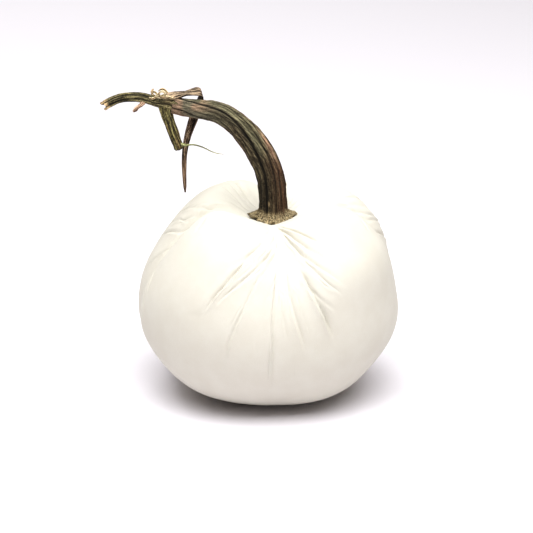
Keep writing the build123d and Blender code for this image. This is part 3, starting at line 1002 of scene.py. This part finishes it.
def flat_section(width, thick, seed):
    """Section of a shrivelled strap: flat, with long folds and edges that curl to and fro."""

    def section(t, turn, length):
        angle = 2 * pi * turn
        w = table_value(width, t) / 2
        folds = smooth_noise(length / 7, turn, 26, seed)
        u = w * np.cos(angle)
        v = table_value(thick, t) / 2 * np.sin(angle)
        v += 0.5 * (np.cos(angle) ** 2) * w * 0.3 * smooth_noise(length / 14, 0 * t, 2, seed + 1)
        return u + 0.15 * folds * np.cos(angle), v + 0.3 * folds * np.sin(angle)

    return section


def flat_masks(seed):
    """Colours of the strap, with painted shade in its folds, a painted dark shade line down its hanging
    part, and painted shadow where it folds over.
    """

    def masks(t, turn, length):
        folds = smooth_noise(length / 7, turn, 26, seed)
        # A painted dark shade line down one side of the hanging part.
        painted_shade_line = band(360 * turn, 232, 16) * ramp(t, 0.42, 0.5) * (1 - ramp(t, 0.66, 0.78))
        return {
            "groove": np.maximum(ramp(-folds, 0.05, 0.7), painted_shade_line),
            "blush": ramp(smooth_noise(length / 9, turn, 4, seed + 4), -0.2, 0.7),
            # Painted shadow in near black where the strap folds over its edge, and at its pinch on top.
            "fold_shadow": patch(t, 0.335, 0.05) + 0.8 * patch(t, 0.155, 0.02),
            "tan": patch(t, 0.22, 0.06) + patch(t, 0.08, 0.06),
        }

    return masks


WITHERED_ROUTE = [
    (-86, 0, 238.5),
    (-79.5, -1, 240.8),
    (-73, 0, 241.8),
    (-67, 1, 242.6),
    (-60, 4, 242.9),
    (-55.2, 8.5, 241.0),
    (-54.5, 11.5, 235.6),
    (-56.5, 12.5, 228),
    (-60.9, 12, 216),
    (-64.8, 11.5, 203.8),
    (-67.3, 11, 189),
    (-67.6, 11, 175),
    (-66.9, 11, 157.5),
]
WITHERED_SIDES = [
    (0, 0.9, 0.4),
    (0, 0.7, 0.7),
    (-0.2, 0.4, 0.9),
    (-0.6, 0.1, 0.7),
    (-1, 0, 0),
    (-1, 0, 0),
    (-1, -0.1, 0),
    (-1, 0, 0),
]
WITHERED_WIDTH = [
    (0, 7),
    (0.1, 7.4),
    (0.17, 4.0),
    (0.25, 7.2),
    (0.33, 6.2),
    (0.42, 6.6),
    (0.5, 7.2),
    (0.6, 5.6),
    (0.7, 4.6),
    (0.85, 3.5),
    (0.96, 2.5),
    (1, 1.1),
]
WITHERED_THICKNESS = [(0, 3), (0.17, 3.0), (0.25, 2.2), (0.5, 2.2), (0.8, 1.8), (1, 0.7)]
withered_material = plant_material(
    "withered_stalk_skin",
    (112, 90, 71),
    (52, 38, 29),
    (162, 140, 114),
    streak=1.3,
    # The near-black accent is painted shadow where the strap folds over.
    accents=(("blush", (132, 104, 82), 0.6), ("fold_shadow", (26, 20, 15), 0.95), ("tan", (158, 138, 114), 0.8)),
)
withered_section = flat_section(WITHERED_WIDTH, WITHERED_THICKNESS, 60)
withered_built = limb(WITHERED_ROUTE, WITHERED_SIDES, 260, 48, withered_section, flat_masks(60))
plant_piece(grid_object("withered", *withered_built), "withered_stalk", withered_material)

TENDRIL_ROUTE = [
    (-70, -4.5, 203),
    (-66.5, -5, 202.2),
    (-62, -5, 202.6),
    (-56, -5, 201.6),
    (-50.4, -5, 199.2),
    (-44.9, -4, 196),
    (-41, -4, 194.9),
    (-36.8, -4, 194.4),
]
TENDRIL_WIDTH = [(0, 3.2), (0.08, 2.6), (0.16, 1.5), (0.5, 1.15), (0.85, 0.8), (1, 0.4)]
tendril_built = limb(
    TENDRIL_ROUTE,
    [(0, 1, 0)] * 2,
    120,
    14,
    round_section(TENDRIL_WIDTH, 3, 0.15, 70, fibre=0.05),
    round_masks(3, 70, tip=(0.55, 0.9)),
)
tendril_material = plant_material(
    "tendril_skin", (146, 150, 98), (96, 100, 58), (190, 186, 138), accents=(("tip", (200, 186, 150), 0.8),)
)
plant_piece(grid_object("curling_tendril", *tendril_built), "tendril", tendril_material)

# Curls of torn fibre on top of the node, from their roots to their tips.
FIBRES = [
    [
        (-83.5, -3, 240.5),
        (-86.5, -4.4, 242.6),
        (-86.6, -4.8, 245.2),
        (-84.2, -4.4, 246.2),
        (-82.6, -4, 244.4),
        (-83.6, -4, 242.4),
    ],
    [(-89, 0, 240), (-91.4, 0, 242), (-92.6, 0.6, 244.6), (-91.2, 1.4, 246.4)],
    [(-80, 2, 241), (-81.5, 3.4, 243.8), (-84.5, 3.8, 245.4), (-87.6, 3, 244)],
    [(-86, -3.6, 241.4), (-89.6, -4.8, 241.6), (-92.6, -5, 240.6), (-94.6, -4.6, 241.4)],
    [(-81, -4.6, 241.6), (-78.6, -5.6, 242), (-76, -5.4, 241), (-74.6, -4.8, 241.8)],
    [(-88, 2, 241), (-90, 2.6, 243), (-93.6, 2.6, 243.6)],
]
FIBRE_WIDTH = [(0, 3.0), (0.35, 1.9), (0.7, 2.3), (1, 0.9)]


def torn_fibre(route, seed):
    section = round_section(FIBRE_WIDTH, 3, 0.45, seed, fibre=0.3)
    return limb(route, [(0, 1, 0)] * 2, 40, 12, section, round_masks(3, seed))


def joined(name, pieces):
    """One object from the grids and facts of several."""
    parts = [grid_object(f"{name}_{i}", *piece) for i, piece in enumerate(pieces)]
    bpy.ops.object.select_all(action="DESELECT")
    for part in parts:
        part.select_set(True)
    bpy.context.view_layer.objects.active = parts[0]
    bpy.ops.object.join()
    parts[0].name = name
    return parts[0]


torn_material = plant_material(
    "torn_fibre_skin", (224, 198, 154), (182, 148, 104), (240, 226, 192), streak=1.5
)
fibres = joined("fibres", [torn_fibre(route, 80 + i) for i, route in enumerate(FIBRES)])
plant_piece(fibres, "torn_fibres", torn_material)

BARK_ROUTE = [
    (-99.5, -2, 237),
    (-101.6, -3, 234.6),
    (-104, -3.4, 232.8),
    (-105.6, -3.2, 230.8),
    (-107.2, -3, 229.4),
]
BARK_WIDTH = [(0, 5.0), (0.4, 3.6), (0.75, 4.4), (1, 2.4)]
bark_material = plant_material("bark_skin", (186, 150, 122), (124, 90, 68), (216, 186, 158), streak=1.5)
bark_section = round_section(BARK_WIDTH, 3, 0.4, 90, fibre=0.3)
bark_built = limb(BARK_ROUTE, [(0, 1, 0)] * 2, 50, 14, bark_section, round_masks(3, 90))
plant_piece(grid_object("bark", *bark_built), "peeled_bark", bark_material)

# ---- pieces inside, which keep their CAD shape ------------------------------------------------------
inside_materials = {
    "ballast_bag": fluffy_material("muslin", (226, 214, 186), (206, 192, 160), 900),
    "ballast_pellets": fluffy_material("pellets", (224, 224, 218), (190, 190, 184), 320),
    "bag_tie": fluffy_material("string", (232, 226, 208), (200, 190, 166), 1400),
    "gathering_thread": fluffy_material("waxed_thread", (232, 228, 214), (204, 198, 180), 1800),
    "tie_down_threads": fluffy_material("tie_thread", (232, 228, 214), (204, 198, 180), 1800),
    "glue_pad": fluffy_material("hot_glue", (232, 222, 190), (212, 200, 164), 120),
}
for node, material in inside_materials.items():
    dress(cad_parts[node], material)

# ---- floor, light and camera -----------------------------------------------------------------------
FLOOR_HALF = 6.0  # metres, as is all below
corners = [(-1, -1), (1, -1), (1, 1), (-1, 1)]
floor_mesh = bpy.data.meshes.new("floor")
floor_mesh.from_pydata([(FLOOR_HALF * x, FLOOR_HALF * y, 0) for x, y in corners], [], [(0, 1, 2, 3)])
floor = bpy.data.objects.new("floor", floor_mesh)
bpy.context.collection.objects.link(floor)
dress(floor, Nodes("floor_paper").finish((230, 227, 233), 0.9, Specular_IOR_Level=0.1))

world = bpy.data.worlds.new("studio")
bpy.context.scene.world = world
world.use_nodes = True
background = world.node_tree.nodes["Background"]
background.inputs["Color"].default_value = (1.0, 0.93, 0.79, 1.0)
background.inputs["Strength"].default_value = 0.145


def soft_box(name, place, target, width, height, power):
    """A rectangular lamp at a place, turned to a target."""
    data = bpy.data.lights.new(name, "AREA")
    data.shape = "RECTANGLE"
    data.size, data.size_y = width, height
    data.energy = power
    obj = bpy.data.objects.new(name, data)
    obj.location = place
    obj.rotation_mode = "QUATERNION"
    obj.rotation_quaternion = (Vector(target) - Vector(place)).to_track_quat("-Z", "Y")
    bpy.context.collection.objects.link(obj)


soft_box("overhead", (0.04, -0.38, 1.15), (0.01, -0.1, 0.08), 1.6, 1.2, 36.5)
soft_box("backdrop", (-0.5, 1.1, 1.3), (-0.35, 1.1, 0), 1.3, 0.9, 10.5)

AIM = Vector((-0.0035, 0, 0.100))
DISTANCE = 10.0
ELEVATION = radians(20)
VIEW_WIDTH = 0.416  # what the frame takes in at the object
SENSOR = 36  # mm
camera_data = bpy.data.cameras.new("camera")
camera_data.sensor_width = SENSOR
camera_data.lens = SENSOR * DISTANCE / VIEW_WIDTH
camera = bpy.data.objects.new("camera", camera_data)
camera.location = AIM + DISTANCE * Vector((0, -cos(ELEVATION), sin(ELEVATION)))
camera.rotation_euler = (pi / 2 - ELEVATION, 0, 0)
bpy.context.collection.objects.link(camera)
bpy.context.scene.camera = camera
bpy.context.scene.view_settings.view_transform = "Standard"
